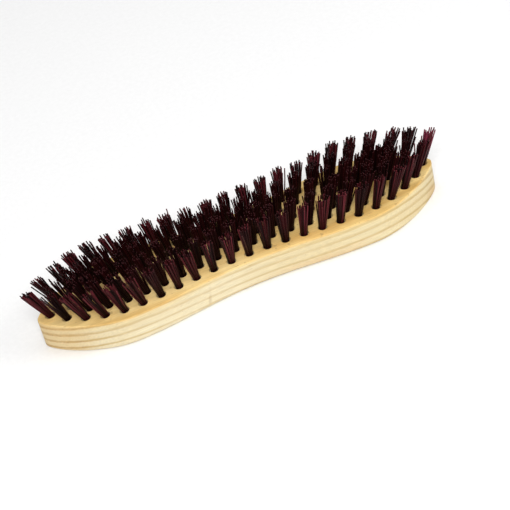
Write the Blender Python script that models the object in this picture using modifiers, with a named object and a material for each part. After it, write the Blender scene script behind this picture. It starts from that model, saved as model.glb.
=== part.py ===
"""A waisted wooden hand scrubbing brush with tufts of stiff bristle set in drilled holes.

The block lies on its flat back at z = 0, its length runs along X, and the bristle tips point up +Z.
The outer ring's tufts are single pieces. The inner tufts are joined in short runs by crossed filaments.
"""

import math

import bmesh
import bpy
import numpy as np
from mathutils import Matrix, Vector
from mathutils.geometry import interpolate_bezier

# Driving dimensions, in metres and radians
BLOCK_LENGTH = 0.230
BLOCK_THICKNESS = 0.0182
BULGE_WIDTH = 0.0512  # the block's width over each bulge
WAIST_WIDTH = 0.0410  # the block's width in its middle
BULGE_AT = 0.068  # distance of each bulge from the block's middle
BULGE_ROUNDNESS = 0.37  # handle on each bulge's waist side, as a share of BULGE_AT
BLOCK_SHOULDER = 0.023  # handle on each bulge's end side
BLOCK_NOSE = 0.0055  # handle across each blunt end
BLOCK_SOFTENING = 0.0009  # width of the sanded arris round both faces

BRISTLE_HEIGHT = 0.0188  # of the trimmed tips, which are cut level, above the block
UNTRIMMED_LENGTH = 1.3 * BRISTLE_HEIGHT  # long enough for the most slanted tuft
TUFT_RADIUS = 0.0024  # at the mouth of its hole
TIP_RADIUS = 0.0031  # of an upright tuft where it is trimmed
HOLE_DEPTH = 0.011
HOLE_CLEARANCE = 0.0004  # between a tuft's corners and the hole's corners
DRILL_POINT = 0.0012  # depth of the cone left by the drill
FAN_ANGLE = 0.40  # lean of a tuft at the block's very end, outwards along X
SPLAY_ANGLE = 0.06  # sideways lean of a tuft at the block's edge

OUTER_TUFTS = 44
INNER_TUFTS = 38
MIDDLE_TUFTS = 9
HEART_ROW_TUFTS = 4  # in each of the two short rows inside a bulge
PATTERN_OFFSET = (0.0010, 0.0003)  # of the drilled pattern's middle from the block's
OUTER_RING_HALF_LENGTH = 0.1087
OUTER_RING_WAIST = 0.0145
OUTER_RING_BULGE = 0.0187
OUTER_RING_SHOULDER = 0.021
OUTER_RING_NOSE = 0.0027
INNER_RING_HALF_LENGTH = 0.0965
INNER_RING_WAIST = 0.0072
INNER_RING_BULGE = 0.0118
INNER_RING_SHOULDER = 0.017
INNER_RING_NOSE = 0.0020
MIDDLE_ROW_HALF_LENGTH = 0.0415
HEART_ROW_START = 0.0525  # where the short rows start, from the middle of the pattern
HEART_ROW_END = 0.0810
HEART_ROW_ASIDE = (0.0046, 0.0038)  # of each short row from the middle line, at its start and end
HEART_TIP = 0.0875  # the single tuft beyond the short rows

INNER_RUNS = 8  # joined runs of tufts in the inner ring
MIDDLE_RUNS = 2  # joined runs of tufts in the middle row
CROSSING_RADIUS = 0.0006  # bundle of crossed filaments between joined tufts
CROSSING_HEIGHT = 0.6  # its place, as a share of the height of the tips

# Smoothness
OUTLINE_STEPS = 8  # straight pieces to each Bezier segment of the block's outline
PATH_STEPS = 60  # samples to each segment when tufts are spaced along a ring
TUFT_SIDES = 8
HOLE_SIDES = 10
CROSSING_SIDES = 6
SMOOTH_ANGLE = math.radians(35)
CORNER_ANGLE = math.radians(60)  # edges of the block sharper than this get an arris
LEVEL = 0.9  # a face whose normal rises more than this is part of a flat cap
MERGE = 0.00001

WOOD_COLOUR = (0.76, 0.55, 0.27, 1.0)
WOOD_ROUGHNESS = 0.6
BRISTLE_COLOUR = (0.055, 0.008, 0.018, 1.0)
BRISTLE_ROUGHNESS = 0.4


def clear_scene():
    for thing in list(bpy.data.objects):
        bpy.data.objects.remove(thing, do_unlink=True)


def new_collection(name):
    made = bpy.data.collections.new(name)
    bpy.context.scene.collection.children.link(made)
    return made


def new_material(name, colour, roughness):
    made = bpy.data.materials.new(name)
    made.use_nodes = True
    shader = made.node_tree.nodes["Principled BSDF"]
    shader.inputs["Base Color"].default_value = colour
    shader.inputs["Roughness"].default_value = roughness
    shader.inputs["Metallic"].default_value = 0.0
    return made


def add_object(name, data, collection, material=None, matrix=None):
    made = bpy.data.objects.new(name, data)
    collection.objects.link(made)
    if material:
        data.materials.clear()
        data.materials.append(material)
    if matrix:
        made.matrix_world = matrix
    return made


def mesh_from(bm, name):
    mesh = bpy.data.meshes.new(name)
    bm.to_mesh(mesh)
    bm.free()
    return mesh


def shade_round(mesh):
    mesh.shade_smooth()
    mesh.set_sharp_from_angle(angle=SMOOTH_ANGLE)


def as_cutter(thing):
    thing.hide_render = True
    thing.display_type = "WIRE"


def evaluated_mesh(thing):
    """A new mesh with the object's modifiers or curve settings applied, and the object removed."""
    bpy.context.view_layer.update()
    graph = bpy.context.evaluated_depsgraph_get()
    mesh = bpy.data.meshes.new_from_object(thing.evaluated_get(graph), depsgraph=graph)
    bpy.data.objects.remove(thing, do_unlink=True)
    return mesh


def waisted_outline(half_length, bulge_at, bulge, waist, shoulder, nose):
    """Anchors of a closed double-bulged outline, anticlockwise from its +X nose.

    Each anchor is (point, handle before it, handle after it). shoulder and nose are the lengths of the
    handles that shape the end, one at the bulge and one at the nose.
    """
    side = bulge_at * BULGE_ROUNDNESS
    half = [
        ((half_length, 0), (half_length, -nose), (half_length, nose)),
        ((bulge_at, bulge), (bulge_at + shoulder, bulge), (bulge_at - side, bulge)),
        ((0, waist), (side, waist), (-side, waist)),
        ((-bulge_at, bulge), (-bulge_at + side, bulge), (-bulge_at - shoulder, bulge)),
    ]
    return half + [tuple((-x, -y) for x, y in anchor) for anchor in half]


def drilled_places(xs, ys):
    """Places on the block of holes given from the middle of the drilled pattern."""
    return [(x + PATTERN_OFFSET[0], y + PATTERN_OFFSET[1]) for x, y in zip(xs, ys)]


def spaced_along(outline, count):
    """Points at equal distances along an outline, the first at its +X nose."""
    track = []
    for (start, _, leave), (end, arrive, _) in zip(outline, outline[1:] + outline[:1]):
        corners = [Vector((x, y, 0)) for x, y in (start, leave, arrive, end)]
        track += interpolate_bezier(*corners, PATH_STEPS)[:-1]
    track.append(track[0])
    steps = [(b - a).length for a, b in zip(track, track[1:])]
    along = np.concatenate([[0], np.cumsum(steps)])
    places = np.linspace(0, along[-1], count, endpoint=False)
    xs = np.interp(places, along, [p.x for p in track])
    ys = np.interp(places, along, [p.y for p in track])
    return drilled_places(xs, ys)


def heart_run(end, side):
    """Places of one short row inside a bulge, end and side being 1 or -1."""
    xs = np.linspace(HEART_ROW_START, HEART_ROW_END, HEART_ROW_TUFTS)
    ys = np.linspace(*HEART_ROW_ASIDE, HEART_ROW_TUFTS)
    if side < 0:
        xs = np.append(xs, HEART_TIP)
        ys = np.append(ys, 0.0)
    return drilled_places(end * xs, side * ys)


def tuft_frame(place):
    """Origin at the mouth of a tuft's hole, +Z along the tuft."""
    x, y = place
    lean = FAN_ANGLE * x / (BLOCK_LENGTH / 2)
    splay = SPLAY_ANGLE * y / OUTER_RING_BULGE
    turn = Matrix.Rotation(lean, 4, "Y") @ Matrix.Rotation(-splay, 4, "X")
    return Matrix.Translation((x, y, BLOCK_THICKNESS)) @ turn


def turned_mesh(name, profile, sides):
    """A profile of (radius, height) pairs, top to bottom, turned about Z."""
    mesh = bpy.data.meshes.new(name)
    edges = [(i, i + 1) for i in range(len(profile) - 1)]
    mesh.from_pydata([(radius, 0, height) for radius, height in profile], edges, [])
    turned = bpy.data.objects.new(name, mesh)
    bpy.context.scene.collection.objects.link(turned)
    screw = turned.modifiers.new("turn", "SCREW")
    screw.steps = sides
    screw.render_steps = sides
    screw.use_merge_vertices = True
    screw.merge_threshold = MERGE
    made = evaluated_mesh(turned)
    made.name = name
    return made


def placed_together(meshes, frames):
    """A bmesh that holds each mesh in its own frame."""
    bm = bmesh.new()
    for mesh, frame in zip(meshes, frames):
        bm.from_mesh(mesh)
        bm.verts.ensure_lookup_table()
        bmesh.ops.transform(bm, matrix=frame, verts=bm.verts[-len(mesh.vertices) :])
    return bm


def make_tuft_mesh():
    """A bundle of filaments that opens out evenly from its fold at the bottom of the hole to its tips."""
    foot = -HOLE_DEPTH + HOLE_CLEARANCE
    taper = (TIP_RADIUS - TUFT_RADIUS) / BRISTLE_HEIGHT
    profile = [
        (0, UNTRIMMED_LENGTH),
        (TUFT_RADIUS + taper * UNTRIMMED_LENGTH, UNTRIMMED_LENGTH),
        (TUFT_RADIUS + taper * foot, foot),
        (0, foot),
    ]
    return turned_mesh("tuft", profile, TUFT_SIDES)


def trimmed_mesh(tuft, frame):
    """The tuft that stands in frame, cut level with all the others."""
    to_tuft = frame.inverted()
    bm = bmesh.new()
    bm.from_mesh(tuft)
    cut = bmesh.ops.bisect_plane(
        bm,
        geom=[*bm.verts, *bm.edges, *bm.faces],
        plane_co=to_tuft @ Vector((0, 0, BLOCK_THICKNESS + BRISTLE_HEIGHT)),
        plane_no=to_tuft.to_3x3() @ Vector((0, 0, 1)),
        clear_outer=True,
    )
    rim = [part for part in cut["geom_cut"] if isinstance(part, bmesh.types.BMEdge)]
    bmesh.ops.contextual_create(bm, geom=rim)
    return mesh_from(bm, "tuft")


def make_hole_mesh():
    """The space one hole takes out of the block, with the cone its drill leaves."""
    radius = TUFT_RADIUS + HOLE_CLEARANCE
    above = 2 * radius  # clears the face however much the hole leans
    profile = [
        (0, above),
        (radius, above),
        (radius, -HOLE_DEPTH),
        (0, -HOLE_DEPTH - DRILL_POINT),
    ]
    return turned_mesh("hole", profile, HOLE_SIDES)


def outline_curve(name, outline, thickness):
    curve = bpy.data.curves.new(name, "CURVE")
    curve.dimensions = "2D"
    curve.fill_mode = "BOTH"
    curve.extrude = thickness / 2
    curve.resolution_u = OUTLINE_STEPS
    curve.render_resolution_u = OUTLINE_STEPS
    spline = curve.splines.new("BEZIER")
    spline.bezier_points.add(len(outline) - 1)
    spline.use_cyclic_u = True
    for anchor, (point, before, after) in zip(spline.bezier_points, outline):
        anchor.handle_left_type = "FREE"
        anchor.handle_right_type = "FREE"
        anchor.co = (*point, 0)
        anchor.handle_left = (*before, 0)
        anchor.handle_right = (*after, 0)
    return curve


def make_block(outline, places, parts, cutters, wood):
    """The waisted board, with its edges broken and a blind hole drilled for every tuft."""
    curve = add_object("board_outline", outline_curve("board", outline, BLOCK_THICKNESS), parts)
    curve.location.z = BLOCK_THICKNESS / 2
    bpy.context.view_layer.update()
    place = curve.matrix_world.copy()
    mesh = evaluated_mesh(curve)
    bm = bmesh.new()
    bm.from_mesh(mesh)
    bmesh.ops.remove_doubles(bm, verts=bm.verts, dist=MERGE)
    inside_caps = [
        e for e in bm.edges if len(e.link_faces) == 2 and all(abs(f.normal.z) > LEVEL for f in e.link_faces)
    ]
    bmesh.ops.dissolve_edges(bm, edges=inside_caps, use_verts=False)
    bm.to_mesh(mesh)
    bm.free()
    shade_round(mesh)
    block = add_object("wood_block", mesh, parts, wood, place)

    arris = block.modifiers.new("sanded_arris", "BEVEL")
    arris.width = BLOCK_SOFTENING
    arris.segments = 2
    arris.limit_method = "ANGLE"
    arris.angle_limit = CORNER_ANGLE

    hole = make_hole_mesh()
    holes = placed_together([hole] * len(places), [tuft_frame(p) for p in places])
    drill = add_object("drill_pattern", mesh_from(holes, "drill_pattern"), cutters)
    as_cutter(drill)
    drilled = block.modifiers.new("drilled_holes", "BOOLEAN")
    drilled.operation = "DIFFERENCE"
    drilled.solver = "EXACT"
    drilled.object = drill
    return block


def crossing_between(start, end):
    """The frame and length of a straight bundle from one tuft's middle to the next one's."""
    height = Vector((0, 0, BRISTLE_HEIGHT * CROSSING_HEIGHT))
    a = tuft_frame(start) @ height
    b = tuft_frame(end) @ height
    turn = (b - a).to_track_quat("Z", "Y").to_matrix().to_4x4()
    return Matrix.Translation((a + b) / 2) @ turn, (b - a).length


def make_crossings(name, run, cutters):
    """Crossed filaments that tie each tuft of a run to the next."""
    bm = bmesh.new()
    for start, end in zip(run, run[1:]):
        frame, length = crossing_between(start, end)
        bmesh.ops.create_cone(
            bm,
            cap_ends=True,
            segments=CROSSING_SIDES,
            radius1=CROSSING_RADIUS,
            radius2=CROSSING_RADIUS,
            depth=length,
            matrix=frame,
        )
    crossings = add_object(name, mesh_from(bm, name), cutters)
    as_cutter(crossings)
    return crossings


def make_single_tufts(places, tuft, parts, bristle):
    for number, place in enumerate(places, 1):
        frame = tuft_frame(place)
        mesh = trimmed_mesh(tuft, frame)
        shade_round(mesh)
        add_object(f"outer_tuft_{number:02d}", mesh, parts, bristle, frame)


def make_joined_tufts(name, run, tuft, parts, cutters, bristle):
    frames = [tuft_frame(place) for place in run]
    mesh = mesh_from(placed_together([trimmed_mesh(tuft, frame) for frame in frames], frames), name)
    shade_round(mesh)
    joined = add_object(name, mesh, parts, bristle)
    union = joined.modifiers.new("crossed_filaments", "BOOLEAN")
    union.operation = "UNION"
    union.solver = "EXACT"
    union.object = make_crossings(f"{name}_crossings", run, cutters)


def runs_of(places, count):
    return [places[part[0] : part[-1] + 1] for part in np.array_split(range(len(places)), count)]


def main():
    clear_scene()
    parts = new_collection("waisted_scrubbing_brush")
    cutters = new_collection("cutters")
    wood = new_material("pine", WOOD_COLOUR, WOOD_ROUGHNESS)
    bristle = new_material("bristle", BRISTLE_COLOUR, BRISTLE_ROUGHNESS)

    board = waisted_outline(
        BLOCK_LENGTH / 2, BULGE_AT, BULGE_WIDTH / 2, WAIST_WIDTH / 2, BLOCK_SHOULDER, BLOCK_NOSE
    )
    outer_ring = waisted_outline(
        OUTER_RING_HALF_LENGTH,
        BULGE_AT,
        OUTER_RING_BULGE,
        OUTER_RING_WAIST,
        OUTER_RING_SHOULDER,
        OUTER_RING_NOSE,
    )
    inner_ring = waisted_outline(
        INNER_RING_HALF_LENGTH,
        BULGE_AT,
        INNER_RING_BULGE,
        INNER_RING_WAIST,
        INNER_RING_SHOULDER,
        INNER_RING_NOSE,
    )
    outer = spaced_along(outer_ring, OUTER_TUFTS)
    inner = spaced_along(inner_ring, INNER_TUFTS)
    middle_xs = np.linspace(-MIDDLE_ROW_HALF_LENGTH, MIDDLE_ROW_HALF_LENGTH, MIDDLE_TUFTS)
    middle = drilled_places(middle_xs, np.zeros(MIDDLE_TUFTS))

    hearts = [heart_run(end, side) for end in (-1, 1) for side in (-1, 1)]

    make_block(board, outer + inner + middle + sum(hearts, []), parts, cutters, wood)
    tuft = make_tuft_mesh()
    make_single_tufts(outer, tuft, parts, bristle)
    for number, run in enumerate(runs_of(inner, INNER_RUNS), 1):
        make_joined_tufts(f"inner_tufts_{number:02d}", run, tuft, parts, cutters, bristle)
    for number, run in enumerate(runs_of(middle, MIDDLE_RUNS), 1):
        make_joined_tufts(f"middle_tufts_{number}", run, tuft, parts, cutters, bristle)
    for number, run in enumerate(hearts, 1):
        make_joined_tufts(f"heart_tufts_{number}", run, tuft, parts, cutters, bristle)


main()
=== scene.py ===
"""The looks of a waisted wooden scrubbing brush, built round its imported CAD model.

Every tuft of folded bristle is its own piece, set in its own drilled hole over a flat wire staple.
"""

import math

import bmesh
import bpy
import numpy as np
from mathutils import Matrix, Vector, noise
from mathutils.geometry import interpolate_bezier


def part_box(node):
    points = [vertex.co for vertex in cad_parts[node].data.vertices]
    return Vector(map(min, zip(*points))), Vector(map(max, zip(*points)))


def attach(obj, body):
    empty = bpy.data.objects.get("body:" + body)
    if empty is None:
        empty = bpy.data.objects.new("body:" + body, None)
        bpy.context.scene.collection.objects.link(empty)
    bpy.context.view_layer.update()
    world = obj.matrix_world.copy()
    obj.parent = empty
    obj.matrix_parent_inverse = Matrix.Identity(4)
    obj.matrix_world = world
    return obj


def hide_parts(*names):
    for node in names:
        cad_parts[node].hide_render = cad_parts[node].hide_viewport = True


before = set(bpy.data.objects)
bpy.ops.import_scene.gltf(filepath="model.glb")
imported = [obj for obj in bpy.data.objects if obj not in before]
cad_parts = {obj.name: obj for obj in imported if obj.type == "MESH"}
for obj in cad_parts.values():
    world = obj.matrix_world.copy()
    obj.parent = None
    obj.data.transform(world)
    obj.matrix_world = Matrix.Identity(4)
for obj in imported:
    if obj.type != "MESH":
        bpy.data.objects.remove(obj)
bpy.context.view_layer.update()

MM = 0.001

# The block, from the frame
_, block_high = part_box("wood_block")
HALF_LENGTH = block_high[0]
BULGE = block_high[1]  # half the width
THICKNESS = block_high[2]

# The rest of its outline, as the CAD model has it
WAIST = 20.5 * MM  # half the width there
BULGE_AT = 68 * MM  # distance of each bulge from the block's middle
BULGE_ROUNDNESS = 0.37  # handle on each bulge's waist side, as a share of BULGE_AT
BLOCK_SHOULDER = 23 * MM
BLOCK_NOSE = 5.5 * MM

# The block's edges and surface
BACK_ROUND_MIDDLE = 2.4 * MM  # the back's edge is rounder mid-length than at the ends
BACK_ROUND_END = 0.8 * MM
FACE_ROUND = 0.4 * MM
CAP_INSET = 0.25 * MM  # of the flat faces' rims beyond the rounded edges
SANDING_DEPTH = 0.07 * MM
SANDING_WAVES = (120, 120, 260)  # to the metre
OUTLINE_STEPS = 360
WALL_STEPS = 8
ARC_STEPS = 5

# The rings of tufts, as the CAD model lays them out. A ring's measures are its half length, where its
# bulges are, its half widths there and at the waist, and its handles at the bulges and at the noses.
PATTERN_OFFSET = (1.0 * MM, 0.3 * MM)  # from the block's middle
OUTER_TUFTS = 44
OUTER_RING = (108.7 * MM, BULGE_AT, 18.7 * MM, 14.5 * MM, 21 * MM, 2.7 * MM)
INNER_TUFTS = 38
INNER_RING = (96.5 * MM, BULGE_AT, 11.8 * MM, 7.2 * MM, 17 * MM, 2.0 * MM)
MIDDLE_TUFTS = 9
MIDDLE_HALF_LENGTH = 41.5 * MM
HEART_ROW_TUFTS = 4  # in each of the two short rows inside a bulge
HEART_ROW_ALONG = (52.5 * MM, 81.0 * MM)  # where it starts and ends, from the pattern's middle
HEART_ROW_ASIDE = (4.6 * MM, 3.8 * MM)  # its distances from the middle line there
HEART_TIP = 87.5 * MM  # the single tuft beyond the short rows
INNER_RUNS = 8
MIDDLE_RUNS = 2
FAN = 0.40  # lean of a tuft at the block's very end, outwards along X, in radians
SPLAY = 0.06  # sideways lean of a tuft at the block's edge
TRACK_STEPS = 60  # on each stretch of an outline

# Holes and staples
HOLE_RADIUS = 2.55 * MM
HOLE_DEPTH = 11 * MM
DRILL_POINT = 1.2 * MM  # depth of the cone that the drill leaves
DRILL_RISE = 3 * MM  # how far the drill's space reaches above the bristle face
DRILL_SIDES = 24
MOUTH_OPENING = 0.16 * MM  # where the drill has broken the fibres
STAPLE_DEPTH = 8.4 * MM  # of the staple's underside, below the bristle face
STAPLE_SIZE = (0.4 * MM, 4.7 * MM, 1.5 * MM)  # thickness, length and width
STAPLE_ROUND = 0.08 * MM
FOLD_TURN = math.radians(12)  # of each staple and fold, in its hole

# Filaments
BRISTLE_HEIGHT = 18.8 * MM  # of the tips, which are trimmed level, above the block
FILAMENT_RADIUS = 0.345 * MM
FILAMENT_PITCH = 0.70 * MM  # between neighbours in the hole
FIRST_ROW = 0.45  # of a pitch, from the staple's middle
ROW_STEP = 0.866  # of a pitch, between rows of filaments
BUNDLE_RADIUS = 1.95 * MM
STAPLE_GAP = 0.48 * MM  # least distance of a leg's middle from the staple's middle
LEG_LEAN = 0.22 * MM  # of each leg's tips away from the other leg's
CUT_BULGE = 0.04 * MM  # of a filament's cut end
FILAMENT_SIDES = 8
BARE_SHARES = np.array([0.0, 0.3, 0.65, 1.0])  # of a leg's bare length, where its points are
NEAR_TIP = 0.96  # the value of "up" at the rim of a cut end, 1 being its middle

# How much filaments differ from each other: spreads of normal draws, unless said otherwise
MOUTH_JITTER = 0.03 * MM
TIP_JITTER = 0.30 * MM
BEND_JITTER = 0.12 * MM
TRIM_JITTER = 0.38 * MM
TRIM_RANGE = (-1.0 * MM, 0.8 * MM)  # lowest and highest
STRAY_SHARE = 0.06
STRAY_JITTER = 1.7 * MM
SHORT_SHARE = 0.05
SHORT_BY = (1 * MM, 4 * MM)  # least and most

# How much tufts differ from each other
SPREAD_RANGE = (0.62, 1.08)  # of the tips beyond the mouth, as a share of the place in the hole
TILT_JITTER = 0.35 * MM
LEAN_JITTER = 0.02  # in radians
DARK_TONES = 0.68  # most filaments' tones run from 0 to this
BRIGHT_SHARE = 0.04
BRIGHT_TONE = 0.76
# painted shade: the inner tufts' tones are darkened to stand in for the shade deep in the pattern
INNER_PAINTED_SHADE = 0.5
NOSE_OPENED = 1.3
NOSE_CRIMSON = 0.6

# Slivers of torn fibre. Ranges are in millimetres.
MOST_SPLINTERS = 2  # beside one hole
SPLINTER_LENGTHS = (0.9, 2.4)
SPLINTER_WIDTHS = (0.12, 0.3)
SPLINTER_RISES = (0.12, 0.5)
SPLINTER_SWAY = 0.15 * MM
SPLINTER_THICKNESS = 0.12 * MM
SPLINTER_SEED = 77

# The block's growth rings, in millimetres. Where the pith lies is a level, a slope and a bend along X.
PITH_ASIDE = (-6.85, 0.0711, 0.001295)
PITH_HEIGHT = (79.54, -0.0432, -0.000283)
RING_START = 62.58  # from the pith
RING_WIDTH = 4.491

# Each light's place, what it points at, its width and its power in watts
LIGHTS = {
    "key": ((-0.25, -1.10, 1.22), (0, 0, 0), 0.7, 17.0),
    "fill": ((1.1, -0.4, 0.9), (0, 0, 0), 0.8, 5.4),
    "top": ((0.0, 0.2, 1.6), (0, 0.2, 0), 1.2, 9.5),
}
ROOM_BRIGHTNESS = 0.27
FLOOR_REACH = 4.0

# The camera aims near the front of the bristle face. Its distance and angles are from there.
CAMERA_AIM = (3.1 * MM, -17.3 * MM, THICKNESS)
CAMERA_DISTANCE = 0.9603
CAMERA_AZIMUTH = math.radians(-12.4)
CAMERA_ELEVATION = math.radians(41.06)
CAMERA_ROLL = math.radians(-14.14)
CAMERA_LENS = 128.4


# ---------------------------------------------------------------- layout

def waisted_outline(half_length, bulge_at, bulge, waist, shoulder, nose):
    """Anchors of a closed double-bulged outline, anticlockwise from its +X nose."""
    side = bulge_at * BULGE_ROUNDNESS
    half = [
        ((half_length, 0), (half_length, -nose), (half_length, nose)),
        ((bulge_at, bulge), (bulge_at + shoulder, bulge), (bulge_at - side, bulge)),
        ((0, waist), (side, waist), (-side, waist)),
        ((-bulge_at, bulge), (-bulge_at + side, bulge), (-bulge_at - shoulder, bulge)),
    ]
    return half + [tuple((-x, -y) for x, y in anchor) for anchor in half]


def spaced_along(outline, count):
    """Points at equal distances along an outline, the first at its +X nose."""
    track = []
    for (start, _, leave), (end, arrive, _) in zip(outline, outline[1:] + outline[:1]):
        corners = [Vector((x, y, 0)) for x, y in (start, leave, arrive, end)]
        track += interpolate_bezier(*corners, TRACK_STEPS)[:-1]
    track.append(track[0])
    along = np.concatenate([[0], np.cumsum([(b - a).length for a, b in zip(track, track[1:])])])
    places = np.linspace(0, along[-1], count, endpoint=False)
    xs = np.interp(places, along, [p.x for p in track])
    ys = np.interp(places, along, [p.y for p in track])
    return np.stack([xs, ys], axis=1)


def middle_row():
    xs = np.linspace(-MIDDLE_HALF_LENGTH, MIDDLE_HALF_LENGTH, MIDDLE_TUFTS)
    return np.stack([xs, np.zeros(MIDDLE_TUFTS)], axis=1)


def heart_run(end, side):
    """Places of one short row inside a bulge, end and side being 1 or -1."""
    xs = np.linspace(*HEART_ROW_ALONG, HEART_ROW_TUFTS)
    ys = np.linspace(*HEART_ROW_ASIDE, HEART_ROW_TUFTS)
    if side < 0:
        xs = np.append(xs, HEART_TIP)
        ys = np.append(ys, 0.0)
    return np.stack([end * xs, side * ys], axis=1)


def tuft_frame(place, lean_more=0.0, splay_more=0.0):
    """Origin at the mouth of a tuft's hole, +Z along the tuft."""
    x, y = place
    lean = FAN * x / HALF_LENGTH + lean_more
    splay = SPLAY * y / OUTER_RING[2] + splay_more
    turn = Matrix.Rotation(lean, 4, "Y") @ Matrix.Rotation(-splay, 4, "X")
    return Matrix.Translation((x, y, THICKNESS)) @ turn


outer_places = spaced_along(waisted_outline(*OUTER_RING), OUTER_TUFTS) + PATTERN_OFFSET
inner_places = spaced_along(waisted_outline(*INNER_RING), INNER_TUFTS) + PATTERN_OFFSET
middle_places = middle_row() + PATTERN_OFFSET
heart_runs = [heart_run(end, side) + PATTERN_OFFSET for end in (-1, 1) for side in (-1, 1)]


def add_piece(name, mesh, material):
    piece = bpy.data.objects.new(name, mesh)
    bpy.context.scene.collection.objects.link(piece)
    mesh.materials.append(material)
    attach(piece, "root")
    return piece


# ---------------------------------------------------------------- materials

class Nodes:
    """Short names for building a material's node tree."""

    def __init__(self, name):
        self.material = bpy.data.materials.new(name)
        self.material.use_nodes = True
        self.tree = self.material.node_tree
        self.shader = self.tree.nodes["Principled BSDF"]

    def link(self, value, socket):
        if isinstance(value, bpy.types.NodeSocket):
            self.tree.links.new(value, socket)
        elif value is not None:
            socket.default_value = value

    def math(self, operation, a, b=None, c=None, clamp=False):
        node = self.tree.nodes.new("ShaderNodeMath")
        node.operation = operation
        node.use_clamp = clamp
        for value, socket in zip((a, b, c), node.inputs):
            self.link(value, socket)
        return node.outputs[0]

    def curve(self, x, level, slope, bend):
        """level + slope x + bend x squared."""
        return self.math("MULTIPLY_ADD", x, self.math("MULTIPLY_ADD", x, bend, slope), level)

    def scaled(self, vector, scale):
        node = self.tree.nodes.new("ShaderNodeVectorMath")
        node.operation = "MULTIPLY"
        self.link(vector, node.inputs[0])
        node.inputs[1].default_value = scale
        return node.outputs[0]

    def metres(self):
        """The coordinates of the piece, which are the part's own."""
        return self.tree.nodes.new("ShaderNodeTexCoord").outputs["Object"]

    def millimetres(self):
        return self.scaled(self.metres(), (1000, 1000, 1000))

    def noise(self, vector, waves, detail=2.0, roughness=0.5):
        """Noise with its own number of waves to the unit along each axis."""
        node = self.tree.nodes.new("ShaderNodeTexNoise")
        self.link(self.scaled(vector, waves), node.inputs["Vector"])
        node.inputs["Scale"].default_value = 1.0
        node.inputs["Detail"].default_value = detail
        node.inputs["Roughness"].default_value = roughness
        return node.outputs["Fac"]

    def split(self, vector):
        node = self.tree.nodes.new("ShaderNodeSeparateXYZ")
        self.link(vector, node.inputs[0])
        return node.outputs

    def attribute(self, name):
        node = self.tree.nodes.new("ShaderNodeAttribute")
        node.attribute_name = name
        return node.outputs["Fac"]

    def cell(self, value):
        """A random number from 0 to 1 for each whole value."""
        node = self.tree.nodes.new("ShaderNodeTexWhiteNoise")
        node.noise_dimensions = "1D"
        self.link(value, node.inputs["W"])
        return node.outputs["Value"]

    def grey(self, value):
        node = self.tree.nodes.new("ShaderNodeCombineColor")
        for socket in node.inputs:
            self.link(value, socket)
        return node.outputs[0]

    def step(self, value, low, high, out_low=0.0, out_high=1.0):
        """Smooth change from out_low to out_high as value goes from low to high."""
        node = self.tree.nodes.new("ShaderNodeMapRange")
        node.interpolation_type = "SMOOTHSTEP"
        for number, socket in zip((value, low, high, out_low, out_high), node.inputs):
            self.link(number, socket)
        return node.outputs[0]

    def ramp(self, value, *stops):
        node = self.tree.nodes.new("ShaderNodeValToRGB")
        self.link(value, node.inputs[0])
        elements = node.color_ramp.elements
        while len(elements) < len(stops):
            elements.new(0.5)
        for element, (place, colour) in zip(elements, stops):
            element.position = place
            element.color = (*colour, 1)
        return node.outputs[0]

    def mix(self, share, a, b, blend="MIX"):
        node = self.tree.nodes.new("ShaderNodeMix")
        node.data_type = "RGBA"
        node.blend_type = blend
        self.link(share, node.inputs[0])
        for value, socket in ((a, node.inputs[6]), (b, node.inputs[7])):
            self.link((*value, 1) if isinstance(value, tuple) else value, socket)
        return node.outputs[2]

    def tinted(self, colour, tint):
        return self.mix(1.0, colour, tint, "MULTIPLY")

    def bump(self, height, strength, distance):
        node = self.tree.nodes.new("ShaderNodeBump")
        node.inputs["Strength"].default_value = strength
        node.inputs["Distance"].default_value = distance
        self.link(height, node.inputs["Height"])
        return node.outputs[0]


def growth_rings(n, place):
    """Distance outwards from the pith, counted in rings, with some wander."""
    x, y, z = n.split(place)
    slow = n.noise(place, (0.012, 0.03, 0.03), 1.0)
    ragged = n.noise(place, (0.05, 0.45, 0.45), 2.0)
    aside = n.math("SUBTRACT", y, n.curve(x, *PITH_ASIDE))
    down = n.math("SUBTRACT", z, n.curve(x, *PITH_HEIGHT))
    radius = n.math("SQRT", n.math("ADD", n.math("MULTIPLY", aside, aside), n.math("MULTIPLY", down, down)))
    radius = n.math("ADD", radius, n.math("MULTIPLY_ADD", slow, 1.4, -0.7))
    radius = n.math("ADD", radius, n.math("MULTIPLY_ADD", ragged, 1.0, -0.5))
    return n.math("DIVIDE", n.math("SUBTRACT", radius, RING_START), RING_WIDTH)


def latewood_share(n, place):
    """1 in a ring's dark latewood and 0 in its springwood, fainter in patches and towards mid-length."""
    x, _, _ = n.split(place)
    rings = growth_rings(n, place)
    phase = n.math("FRACT", rings)
    of_this_ring = n.cell(n.math("FLOOR", rings))
    # It darkens slowly outwards through a ring and fades fast where the next ring's springwood begins
    rise = n.math("POWER", n.step(phase, n.step(of_this_ring, 0, 1, 0.26, 0.46), 0.76), 1.15)
    latewood = n.math("MULTIPLY", rise, n.step(phase, 0.78, 0.995, 1.0, 0.0))
    latewood = n.math("MULTIPLY", latewood, n.step(of_this_ring, 0, 1, 0.78, 1.0))
    patch = n.noise(place, (0.03, 0.16, 0.16), 3.0)
    latewood = n.math("MULTIPLY", latewood, n.step(n.math("ABSOLUTE", x), 35, 100, 0.62, 0.95))
    return n.math("MULTIPLY", latewood, n.step(patch, 0.25, 0.65, 0.7, 1.15), clamp=True)


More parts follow.
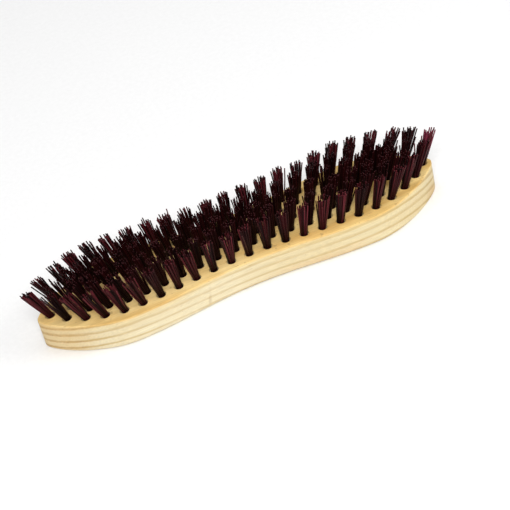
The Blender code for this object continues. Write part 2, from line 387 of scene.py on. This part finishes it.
def pine_side_colour(n, place, latewood):
    """Pale springwood and brown latewood, yellower to the right, with reddish heartwood in places."""
    x, _, z = n.split(place)
    cloud = n.noise(place, (0.012, 0.06, 0.07), 3.0)
    colour = n.mix(n.step(cloud, 0.3, 0.7), (0.83, 0.735, 0.51), (0.79, 0.66, 0.41))
    colour = n.mix(latewood, colour, (0.61, 0.445, 0.20))
    colour = n.mix(n.step(x, -20, 70), colour, n.tinted(colour, (1.0, 0.99, 0.93)))
    heart = n.noise(place, (0.006, 0.075, 0.075), 2.0)
    heart = n.math("MULTIPLY", n.step(heart, 0.54, 0.70), n.step(z, 2.0, 7.0, 0.6, 0.15))
    return n.mix(heart, colour, (0.72, 0.46, 0.22))


def face_painted_light_colour(n, place, face, colour):
    """Painted light: the bristle face, and the top of the edge a little, are tinted a deeper, warmer gold,
    standing in for shade from the bristles and warm bounced light.
    """
    _, _, z = n.split(place)
    # painted light: the top of the edge is tinted warmer and a little darker towards the face
    colour = n.mix(n.step(z, 13.5, 17.0), colour, n.tinted(colour, (1.0, 0.95, 0.82)))
    blotch = n.noise(place, (0.05, 0.13, 0.13), 3.0)
    # painted shade and warm bounced light: the face's gold tint, varied in blotches
    gold = n.mix(n.step(blotch, 0.32, 0.68), (1.14, 0.995, 0.74), (1.04, 0.84, 0.53))
    return n.mix(face, colour, n.tinted(colour, gold))


def end_grain_colour(n, place, face, latewood, colour):
    """The ends' grain soaks up more: tan with brown pores at the left end, greyer at the right."""
    x, _, _ = n.split(place)
    below = n.math("SUBTRACT", 1.0, face)
    left_end = n.math("MULTIPLY", n.step(x, -84, -106), below)
    right_end = n.math("MULTIPLY", n.step(x, 98, 114), below)
    tan = n.mix(latewood, (0.95, 0.84, 0.67), (0.93, 0.78, 0.60))
    colour = n.mix(left_end, colour, n.tinted(colour, tan))
    grey = n.mix(latewood, (0.93, 0.90, 0.85), (0.84, 0.77, 0.67))
    colour = n.mix(right_end, colour, n.tinted(colour, grey))
    pores = n.noise(place, (1.0, 1.6, 1.6), 1.0)
    pores = n.math("MULTIPLY", n.step(pores, 0.58, 0.68), n.math("MULTIPLY", left_end, latewood))
    return n.mix(pores, colour, (0.34, 0.21, 0.11))


def pitch_streak(n, place):
    """A thin slanting streak of pitch across the rings, on the front edge left of the waist."""
    x, y, z = n.split(place)
    ragged = n.noise(place, (0.9, 0.3, 0.45), 2.0)
    middle = n.math("MULTIPLY_ADD", z, 0.22, -29.3)
    middle = n.math("MULTIPLY_ADD", ragged, 1.6, middle)
    off = n.math("ABSOLUTE", n.math("SUBTRACT", x, middle))
    streak = n.step(off, 0.2, 1.3, 1.0, 0.0)
    streak = n.math("MULTIPLY", streak, n.step(z, 1.0, 4.0))
    streak = n.math("MULTIPLY", streak, n.step(z, 7.0, 9.5, 1.0, 0.25))
    streak = n.math("MULTIPLY", streak, n.step(z, 12.0, 14.0, 1.0, 0.0))
    return n.math("MULTIPLY", streak, n.step(y, -17.0, -19.0))


def face_scuffs(n, place, face):
    """Small brown scuffs here and there on the bristle face."""
    scuff = n.noise(place, (0.30, 0.42, 0.42), 3.0)
    return n.math("MULTIPLY", n.step(scuff, 0.62, 0.74, 0.0, 0.55), face)


def pine_material():
    """Bare flat-sawn pine. Growth rings are cylinders round a pith that lies above the bristle face."""
    n = Nodes("pine")
    place = n.millimetres()
    _, _, z = n.split(place)
    face = n.step(z, 16.4, 18.3)
    latewood = latewood_share(n, place)
    fibre = n.noise(place, (0.07, 2.4, 2.4), 4.0, 0.6)
    hair = n.noise(place, (0.25, 7.0, 7.0), 2.0, 0.5)
    # Resin canals: short brown dashes along the grain
    canal = n.noise(place, (0.22, 3.1, 3.1), 1.0, 0.4)
    canals = n.step(canal, 0.70, 0.78, 0.0, 0.5)

    colour = pine_side_colour(n, place, latewood)
    # painted shade and warm bounced light on the bristle face
    colour = face_painted_light_colour(n, place, face, colour)
    colour = end_grain_colour(n, place, face, latewood, colour)
    colour = n.tinted(colour, n.grey(n.step(fibre, 0.30, 0.72, 0.90, 1.06)))
    colour = n.mix(canals, colour, (0.42, 0.24, 0.09))
    colour = n.mix(n.math("MULTIPLY", pitch_streak(n, place), 0.38), colour, (0.50, 0.35, 0.16))
    colour = n.mix(face_scuffs(n, place, face), colour, (0.42, 0.25, 0.10))
    n.link(colour, n.shader.inputs["Base Color"])

    rough = n.math("MULTIPLY_ADD", fibre, 0.22, 0.50)
    n.link(n.math("SUBTRACT", rough, n.math("MULTIPLY", latewood, 0.10)), n.shader.inputs["Roughness"])
    # The relief of the fibres and rings, with saw marks on the back
    sawn = n.noise(place, (2.2, 0.15, 0.15), 2.0)
    height = n.math("ADD", n.math("MULTIPLY", fibre, 0.7), n.math("MULTIPLY", hair, 0.3))
    height = n.math("ADD", height, n.math("MULTIPLY", latewood, 0.35))
    height = n.math("ADD", height, n.math("MULTIPLY", sawn, n.step(z, 0.0, 0.3, 0.35, 0.1)))
    height = n.math("SUBTRACT", height, n.math("MULTIPLY", canals, 0.8))
    n.link(n.bump(height, 0.45, 0.12 * MM), n.shader.inputs["Normal"])
    n.shader.inputs["Specular IOR Level"].default_value = 0.3
    return n.material


def bristle_material():
    """Dark cherry filament, each its own tone from near black to wine red. Its stems carry painted shade
    towards the hole and its cut ends are painted paler as a painted highlight.
    """
    n = Nodes("bristle")
    tone = n.attribute("tone")
    up = n.attribute("up")
    speck = n.noise(n.millimetres(), (1.6, 1.6, 0.5), 2.0)
    shade = n.math("ADD", tone, n.math("MULTIPLY_ADD", speck, 0.24, -0.12), clamp=True)
    colour = n.ramp(
        shade,
        (0.0, (0.004, 0.0007, 0.0007)),
        (0.35, (0.027, 0.0034, 0.0040)),
        (0.62, (0.092, 0.0120, 0.0160)),
        (0.78, (0.130, 0.0190, 0.0270)),
        (1.0, (0.18, 0.020, 0.046)),
    )
    # Painted shade: the stems darken towards the hole, where the other filaments shade them. Painted
    # highlight: the cut ends are paler, as if the light catches their flat caps
    colour = n.mix(n.step(up, 0.0, 0.72, 0.64, 0.0), colour, (0.004, 0.0006, 0.0006))
    colour = n.mix(n.step(up, 0.97, 1.0, 0.0, 0.8), colour, (0.20, 0.075, 0.085))
    n.link(colour, n.shader.inputs["Base Color"])
    n.link(n.math("MULTIPLY_ADD", speck, 0.20, 0.22), n.shader.inputs["Roughness"])
    n.link(n.bump(speck, 0.15, 0.03 * MM), n.shader.inputs["Normal"])
    n.shader.inputs["Specular IOR Level"].default_value = 0.08
    return n.material


def staple_material():
    """Flat drawn steel wire with dull streaks along it."""
    n = Nodes("staple_wire")
    drawn = n.noise(n.metres(), (900, 900, 5000), 3.0)
    n.link(n.ramp(drawn, (0.3, (0.34, 0.33, 0.31)), (0.7, (0.62, 0.61, 0.59))), n.shader.inputs["Base Color"])
    n.link(n.step(drawn, 0.2, 0.8, 0.28, 0.5), n.shader.inputs["Roughness"])
    n.link(n.bump(drawn, 0.2, 0.02 * MM), n.shader.inputs["Normal"])
    n.shader.inputs["Metallic"].default_value = 1.0
    return n.material


# ---------------------------------------------------------------- block

def edge_profile(back_round):
    """(inset, height) pairs from the back's flat, up round the edge, to the bristle face."""
    corner = [
        (back_round * (1 - math.sin(a)), back_round * (1 - math.cos(a)))
        for a in np.linspace(0, math.pi / 2, ARC_STEPS + 1)
    ]
    wall = [(0, z) for z in np.linspace(back_round, THICKNESS - FACE_ROUND, WALL_STEPS + 1)[1:-1]]
    arris = [
        (FACE_ROUND * (1 - math.cos(a)), THICKNESS - FACE_ROUND * (1 - math.sin(a)))
        for a in np.linspace(0, math.pi / 2, ARC_STEPS)
    ]
    return [(back_round + CAP_INSET, 0), *corner, *wall, *arris, (FACE_ROUND + CAP_INSET, THICKNESS)]


def board_mesh():
    """The solid board before drilling, with sanding waves in its side."""
    outline = waisted_outline(HALF_LENGTH, BULGE_AT, BULGE, WAIST, BLOCK_SHOULDER, BLOCK_NOSE)
    points = spaced_along(outline, OUTLINE_STEPS)
    ahead, behind = np.roll(points, -1, axis=0), np.roll(points, 1, axis=0)
    tangents = ahead - behind
    tangents /= np.linalg.norm(tangents, axis=1)[:, None]
    outward = np.stack([tangents[:, 1], -tangents[:, 0]], axis=1)
    verts = []
    for (x, y), (nx, ny) in zip(points, outward):
        middle = 1 - (x / HALF_LENGTH) ** 2
        back_round = BACK_ROUND_END + (BACK_ROUND_MIDDLE - BACK_ROUND_END) * middle
        for inset, z in edge_profile(back_round):
            at = Vector([a * waves for a, waves in zip((x, y, z), SANDING_WAVES)])
            wave = SANDING_DEPTH * (noise.noise(at) - 0.6)
            shift = min(wave, 0) - inset
            verts.append((x + nx * shift, y + ny * shift, z))
    rings = len(edge_profile(BACK_ROUND_END))
    faces = []
    for i in range(OUTLINE_STEPS):
        j = (i + 1) % OUTLINE_STEPS
        for k in range(rings - 1):
            faces.append((i * rings + k, j * rings + k, j * rings + k + 1, i * rings + k + 1))
    faces.append([i * rings for i in reversed(range(OUTLINE_STEPS))])
    faces.append([i * rings + rings - 1 for i in range(OUTLINE_STEPS)])
    mesh = bpy.data.meshes.new("board")
    mesh.from_pydata(verts, [], faces)
    return mesh


def drill_mesh(places):
    """Every hole's space, its mouth opened a little where the drill has broken the fibres."""
    profile = [
        (0, DRILL_RISE), (HOLE_RADIUS + 0.45 * MM, DRILL_RISE), (HOLE_RADIUS + MOUTH_OPENING, 0.1 * MM),
        (HOLE_RADIUS, -0.3 * MM), (HOLE_RADIUS, -HOLE_DEPTH), (0, -HOLE_DEPTH - DRILL_POINT),
    ]
    verts, faces = [], []
    for place in places:
        matrix = tuft_frame(place)
        first = len(verts)
        verts.append(matrix @ Vector((0, 0, profile[0][1])))
        for radius, z in profile[1:-1]:
            for s in range(DRILL_SIDES):
                a = 2 * math.pi * s / DRILL_SIDES
                verts.append(matrix @ Vector((radius * math.cos(a), radius * math.sin(a), z)))
        verts.append(matrix @ Vector((0, 0, profile[-1][1])))
        last = len(verts) - 1
        rows = len(profile) - 2
        for s in range(DRILL_SIDES):
            t = (s + 1) % DRILL_SIDES
            top = first + 1
            faces.append((first, top + s, top + t))
            for k in range(rows - 1):
                a, b = top + k * DRILL_SIDES, top + (k + 1) * DRILL_SIDES
                faces.append((a + s, b + s, b + t, a + t))
            bottom = top + (rows - 1) * DRILL_SIDES
            faces.append((last, bottom + t, bottom + s))
    mesh = bpy.data.meshes.new("drill")
    mesh.from_pydata(verts, [], faces)
    return mesh


def make_block(material, places):
    """The board with its holes drilled."""
    board = bpy.data.objects.new("board", board_mesh())
    drill = bpy.data.objects.new("drill", drill_mesh(places))
    for thing in (board, drill):
        bpy.context.scene.collection.objects.link(thing)
    cut = board.modifiers.new("holes", "BOOLEAN")
    cut.operation = "DIFFERENCE"
    cut.solver = "EXACT"
    cut.object = drill
    bpy.context.view_layer.update()
    graph = bpy.context.evaluated_depsgraph_get()
    mesh = bpy.data.meshes.new_from_object(board.evaluated_get(graph), depsgraph=graph)
    for thing in (board, drill):
        bpy.data.objects.remove(thing, do_unlink=True)
    mesh.shade_smooth()
    mesh.set_sharp_from_angle(angle=math.radians(32))
    piece = add_piece("pine_block", mesh, material)
    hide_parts("wood_block")


# ---------------------------------------------------------------- bristles

def fold_pattern():
    """Where the filaments of one side of a folded tuft stand in the hole, as (x, y) from its middle."""
    found = []
    for i in range(5):
        for j in range(-5, 6):
            x = FILAMENT_PITCH * (FIRST_ROW + ROW_STEP * i)
            y = FILAMENT_PITCH * (j + 0.5 * (i % 2))
            if math.hypot(x, y) < BUNDLE_RADIUS:
                found.append((x, y))
    return np.array(found)


PATTERN = fold_pattern()


def leg(base, sign, rng, spread, tilt, level):
    """Points of one leg of every filament, from its tip down to the staple, in an array (n, k, 3).

    level is the upward direction of the part, in the tuft's frame: the tips are trimmed square to it.
    """
    n = len(base)
    mouth = base * [sign, 1] + rng.normal(0, MOUTH_JITTER, (n, 2))
    fan = mouth * spread + rng.normal(0, TIP_JITTER, (n, 2)) + tilt + [sign * LEG_LEAN, 0]
    stray = rng.random(n) < STRAY_SHARE
    fan[stray] += rng.normal(0, STRAY_JITTER, (stray.sum(), 2))
    bend = rng.normal(0, BEND_JITTER, (n, 2))
    uneven = rng.normal(0, TRIM_JITTER, n).clip(*TRIM_RANGE)
    short = rng.random(n) < SHORT_SHARE
    uneven[short] -= rng.uniform(*SHORT_BY, short.sum())
    tall = (BRISTLE_HEIGHT + uneven - (mouth + fan) @ level[:2]) / level[2]
    points = []
    for share in BARE_SHARES[::-1]:
        across = mouth + fan * share + bend * (4 * share * (1 - share))
        points.append(np.column_stack([across, tall * share]))
    over_staple = np.column_stack([np.maximum(mouth[:, 0] * sign, STAPLE_GAP) * sign, mouth[:, 1]])
    points.append(np.column_stack([over_staple, np.full(n, -STAPLE_DEPTH)]))
    return np.stack(points, axis=1)


def strands(rng, level, opened):
    """Paths of a tuft's folded filaments, tip to tip, in the tuft's own frame turned to the staple."""
    spread = rng.uniform(*SPREAD_RANGE) * opened
    tilt = rng.normal(0, TILT_JITTER, 2)
    one = leg(PATTERN, 1, rng, spread, tilt, level)
    other = leg(PATTERN, -1, rng, spread, tilt, level)
    half_x = np.abs(one[:, -1, 0])
    under = np.zeros((len(PATTERN), 3, 3))
    for k, a in enumerate((0.25 * math.pi, 0.5 * math.pi, 0.75 * math.pi)):
        under[:, k, 0] = half_x * math.cos(a)
        under[:, k, 1] = (one[:, -1, 1] + other[:, -1, 1]) / 2
        under[:, k, 2] = -STAPLE_DEPTH - half_x * math.sin(a)
    return np.concatenate([one, under, other[:, ::-1]], axis=1)


def tubes(paths, tones, heights):
    """Vertices, faces and the two attributes, tone and up, of closed tubes along the paths."""
    count, length, _ = paths.shape
    along = np.gradient(paths, axis=1)
    along /= np.linalg.norm(along, axis=2)[..., None]
    side = np.cross(along, [0.0, 1.0, 0.0])
    side /= np.linalg.norm(side, axis=2)[..., None]
    up = np.cross(side, along)
    angles = np.arange(FILAMENT_SIDES) * 2 * math.pi / FILAMENT_SIDES
    ring = side[:, :, None] * np.cos(angles)[:, None] + up[:, :, None] * np.sin(angles)[:, None]
    body = paths[:, :, None] + ring * FILAMENT_RADIUS
    verts = body.reshape(count, length * FILAMENT_SIDES, 3)
    first_tip = paths[:, 0] - along[:, 0] * CUT_BULGE
    last_tip = paths[:, -1] + along[:, -1] * CUT_BULGE
    ends = np.stack([first_tip, last_tip], axis=1)
    verts = np.concatenate([verts, ends], axis=1)
    quads = []
    for k in range(length - 1):
        for s in range(FILAMENT_SIDES):
            t = (s + 1) % FILAMENT_SIDES
            near, far = k * FILAMENT_SIDES, (k + 1) * FILAMENT_SIDES
            quads.append((near + s, near + t, far + t, far + s))
    quads = np.array(quads)
    last = (length - 1) * FILAMENT_SIDES
    caps = []
    for s in range(FILAMENT_SIDES):
        t = (s + 1) % FILAMENT_SIDES
        caps.append((length * FILAMENT_SIDES, t, s))
        caps.append((length * FILAMENT_SIDES + 1, last + s, last + t))
    caps = np.array(caps)
    stride = length * FILAMENT_SIDES + 2
    starts = np.arange(count)[:, None, None] * stride
    all_faces = (quads + starts).reshape(-1, 4).tolist() + (caps + starts).reshape(-1, 3).tolist()
    per_vertex = np.concatenate([np.repeat(heights, FILAMENT_SIDES, axis=1), np.ones((count, 2))], axis=1)
    return verts.reshape(-1, 3), all_faces, np.repeat(tones, stride), per_vertex.ravel()


def make_tuft(name, place, node, material, seed, opened=1.0, tint=1.0, crimson=0.0):
    """One tuft. opened widens its fan, tint below 1 darkens its tones as painted shade, crimson reddens it
    towards its tips.
    """
    rng = np.random.default_rng(seed)
    matrix = tuft_frame(place, rng.normal(0, LEAN_JITTER), rng.normal(0, LEAN_JITTER))
    matrix = matrix @ Matrix.Rotation(FOLD_TURN, 4, "Z")
    paths = strands(rng, np.array(matrix)[2, :3], opened)
    bare = BARE_SHARES[::-1] * NEAR_TIP
    heights = np.concatenate([bare, np.zeros(5), bare[::-1]])
    heights = np.tile(heights, (len(paths), 1))
    # tint below 1 is painted shade, darkening the tones of tufts deep in the pattern
    tones = DARK_TONES * tint * rng.random(len(paths))
    tones[rng.random(len(paths)) < BRIGHT_SHARE] = BRIGHT_TONE * tint
    verts, faces, tone, up = tubes(paths, tones, heights)
    mesh = bpy.data.meshes.new(name)
    mesh.from_pydata(verts, [], faces)
    for title, values in (("tone", tone + crimson * up), ("up", up)):
        attribute = mesh.attributes.new(title, "FLOAT", "POINT")
        attribute.data.foreach_set("value", values.astype(np.float32))
    mesh.transform(matrix)
    mesh.shade_smooth()
    mesh.set_sharp_from_angle(angle=math.radians(75))
    piece = add_piece(name, mesh, material)
    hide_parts(node)


def make_all_tufts(material):
    """Every tuft as a piece, standing for its own node or for the joined run that it belongs to."""
    for number, place in enumerate(outer_places, 1):
        at_nose = number == 1
        make_tuft(
            f"outer_bristles_{number:02d}", place, f"outer_tuft_{number:02d}", material, number,
            opened=NOSE_OPENED if at_nose else 1.0, crimson=NOSE_CRIMSON if at_nose else 0.0,
        )
    for title, runs, digits, seed in (
        ("inner", np.array_split(inner_places, INNER_RUNS), 2, 200),
        ("middle", np.array_split(middle_places, MIDDLE_RUNS), 1, 400),
        ("heart", heart_runs, 1, 600),
    ):
        number = 0
        for run, part in enumerate(runs, 1):
            for place in part:
                number += 1
                node = f"{title}_tufts_{run:0{digits}d}"
                name = f"{title}_bristles_{number:02d}"
                # the inner, middle and heart tufts get painted shade through their darker tones
                make_tuft(name, place, node, material, seed + number, tint=INNER_PAINTED_SHADE)


def make_staples(material, places):
    """A flat wire across the bottom of every hole, over the fold, its ends driven into the wood."""
    bm = bmesh.new()
    for place in places:
        matrix = tuft_frame(place) @ Matrix.Rotation(FOLD_TURN, 4, "Z")
        matrix = matrix @ Matrix.Translation((0, 0, -STAPLE_DEPTH + STAPLE_SIZE[2] / 2))
        bmesh.ops.create_cube(bm, size=1, matrix=matrix @ Matrix.Diagonal((*STAPLE_SIZE, 1)))
    bmesh.ops.bevel(bm, geom=bm.edges[:], offset=STAPLE_ROUND, segments=2, affect="EDGES", profile=0.5)
    mesh = bpy.data.meshes.new("staples")
    bm.to_mesh(mesh)
    bm.free()
    mesh.shade_smooth()
    mesh.set_sharp_from_angle(angle=math.radians(50))
    piece = add_piece("wire_staples", mesh, material)


# ---------------------------------------------------------------- splinters

def make_splinters(material, places):
    """Slivers of torn fibre that stand up beside some holes, along the grain."""
    rng = np.random.default_rng(SPLINTER_SEED)
    verts, faces = [], []
    for x, y in places:
        for _ in range(rng.integers(0, MOST_SPLINTERS + 1)):
            way = rng.choice([-1, 1])
            aside = rng.uniform(-0.8, 0.8) * HOLE_RADIUS
            start = math.sqrt(HOLE_RADIUS ** 2 - aside ** 2) + 0.05 * MM
            long = rng.uniform(*SPLINTER_LENGTHS) * MM
            wide = rng.uniform(*SPLINTER_WIDTHS) * MM
            high = rng.uniform(*SPLINTER_RISES) * MM
            sway = rng.normal(0, SPLINTER_SWAY)
            # From its raised, pointed end by the hole to its root in the face
            spine = [
                (start - 0.15 * MM, aside + sway, high),
                (start + long * 0.4, aside, high * 0.55),
                (start + long, aside, -0.05 * MM),
            ]
            first = len(verts)
            for (px, py, pz), share in zip(spine, (0.25, 1.0, 0.6)):
                for side in (-1, 1):
                    for drop in (0, SPLINTER_THICKNESS):
                        verts.append((x + way * px, y + py + side * wide * share, THICKNESS + pz - drop))
            block = [
                (0, 1, 3, 2), (8, 10, 11, 9),
                (0, 2, 6, 4), (4, 6, 10, 8),
                (1, 5, 7, 3), (5, 9, 11, 7),
                (0, 4, 5, 1), (4, 8, 9, 5),
                (2, 3, 7, 6), (6, 7, 11, 10),
            ]
            for face in block:
                corners = [first + corner for corner in face]
                faces.append(corners if way < 0 else corners[::-1])
    mesh = bpy.data.meshes.new("splinters")
    mesh.from_pydata(verts, [], faces)
    bm = bmesh.new()
    bm.from_mesh(mesh)
    bmesh.ops.recalc_face_normals(bm, faces=bm.faces)
    bm.to_mesh(mesh)
    bm.free()
    piece = add_piece("torn_fibres", mesh, material)


# ---------------------------------------------------------------- studio

def make_floor():
    """A wide sheet of white paper."""
    n = Nodes("paper_floor")
    tooth = n.noise(n.metres(), (400, 400, 400), 2.0)
    n.link(n.ramp(tooth, (0.3, (0.90, 0.90, 0.90)), (0.7, (0.93, 0.93, 0.93))), n.shader.inputs["Base Color"])
    n.shader.inputs["Roughness"].default_value = 0.9
    mesh = bpy.data.meshes.new("floor")
    far = FLOOR_REACH
    mesh.from_pydata([(-far, -far, 0), (far, -far, 0), (far, far, 0), (-far, far, 0)], [], [(0, 1, 2, 3)])
    floor = bpy.data.objects.new("floor", mesh)
    mesh.materials.append(n.material)
    bpy.context.scene.collection.objects.link(floor)


def area_light(name, location, target, size, power):
    light = bpy.data.lights.new(name, "AREA")
    light.shape = "DISK"
    light.size = size
    light.energy = power
    lamp = bpy.data.objects.new(name, light)
    bpy.context.scene.collection.objects.link(lamp)
    lamp.location = location
    lamp.rotation_euler = (Vector(target) - Vector(location)).to_track_quat("-Z", "Y").to_euler()


def make_lights():
    for name, (location, target, size, power) in LIGHTS.items():
        area_light(name, location, target, size, power)
    world = bpy.data.worlds.new("studio")
    world.use_nodes = True
    background = world.node_tree.nodes["Background"]
    background.inputs["Color"].default_value = (1, 1, 1, 1)
    background.inputs["Strength"].default_value = ROOM_BRIGHTNESS
    bpy.context.scene.world = world
    bpy.context.scene.view_settings.view_transform = "Standard"


def make_camera():
    """Long lens, from the front left and above, tipped the way the brush is propped."""
    back = Vector((
        math.sin(CAMERA_AZIMUTH) * math.cos(CAMERA_ELEVATION),
        -math.cos(CAMERA_AZIMUTH) * math.cos(CAMERA_ELEVATION),
        math.sin(CAMERA_ELEVATION),
    ))
    data = bpy.data.cameras.new("camera")
    data.lens = CAMERA_LENS
    camera = bpy.data.objects.new("camera", data)
    bpy.context.scene.collection.objects.link(camera)
    turn = (-back).to_track_quat("-Z", "Y").to_matrix().to_4x4()
    place = Matrix.Translation(Vector(CAMERA_AIM) + back * CAMERA_DISTANCE)
    camera.matrix_world = place @ turn @ Matrix.Rotation(CAMERA_ROLL, 4, "Z")
    bpy.context.scene.camera = camera


make_camera()
make_lights()
make_floor()
pine = pine_material()
bristle = bristle_material()
steel = staple_material()
all_places = np.concatenate([outer_places, inner_places, middle_places, *heart_runs])
make_block(pine, all_places)
make_all_tufts(bristle)
make_staples(steel, all_places)
make_splinters(pine, all_places)
